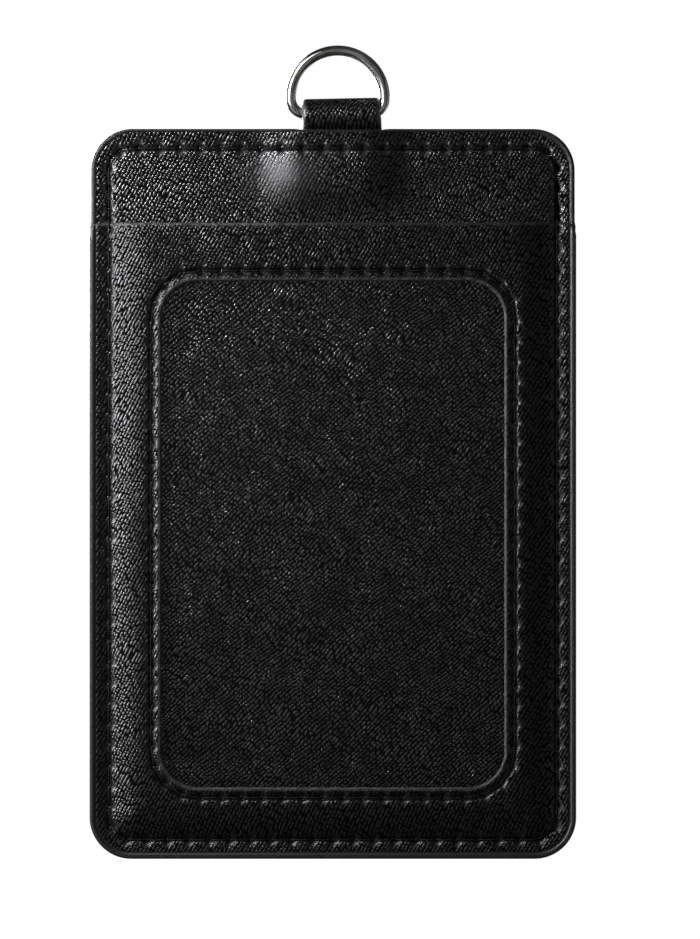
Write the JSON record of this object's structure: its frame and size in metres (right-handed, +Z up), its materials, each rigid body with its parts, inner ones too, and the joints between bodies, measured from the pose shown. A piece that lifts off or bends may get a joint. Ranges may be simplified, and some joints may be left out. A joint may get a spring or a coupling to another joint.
{
  "type": "id badge wallet",
  "caption": "Upright leather badge wallet with a clear window pocket on its front and a plain pocket on its back, hung from a metal D-ring by a folded strap.",
  "frame": {"origin": "the point inside the top of the D-ring's arc where a hook bears", "axes": "+Z up through the ring, +X to the right of the windowed face, that face looks along -Y"},
  "size_m": [0.07, 0.0066, 0.117],
  "materials": {
    "ring_metal": "polished nickel plate on steel wire",
    "grain_leather": "black, fine pebble grain, soft gloss on the grain's tops",
    "stiff_board": "bonded board",
    "clear_film": "clear flexible sheet, smooth",
    "lining_cloth": "fine black woven lining",
    "edge_finish": "black edge coat, smooth, half matt",
    "black_thread": "twisted waxed thread, black"
  },
  "bodies": {
    "ring": {"d_ring": "ring_metal"},
    "wallet": {"hanging_strap": "grain_leather", "base_front_skin": "grain_leather", "base_board": "stiff_board", "base_back_skin": "grain_leather", "front_panel": "grain_leather", "window_film": "clear_film", "front_lining": "lining_cloth", "back_panel": "grain_leather", "back_lining": "lining_cloth", "edge_coat": "edge_finish", "edge_needle_thread": "black_thread", "edge_bobbin_thread": "black_thread", "window_needle_thread": "black_thread", "window_bobbin_thread": "black_thread"}
  },
  "joints": [
    {"name": "ring_swing", "type": "hinge", "parent": "ring", "child": "wallet", "pos_m": [0.00045, 0, -0.00835], "axis": [1, 0, 0], "range_deg": [-120, 120]}
  ]
}
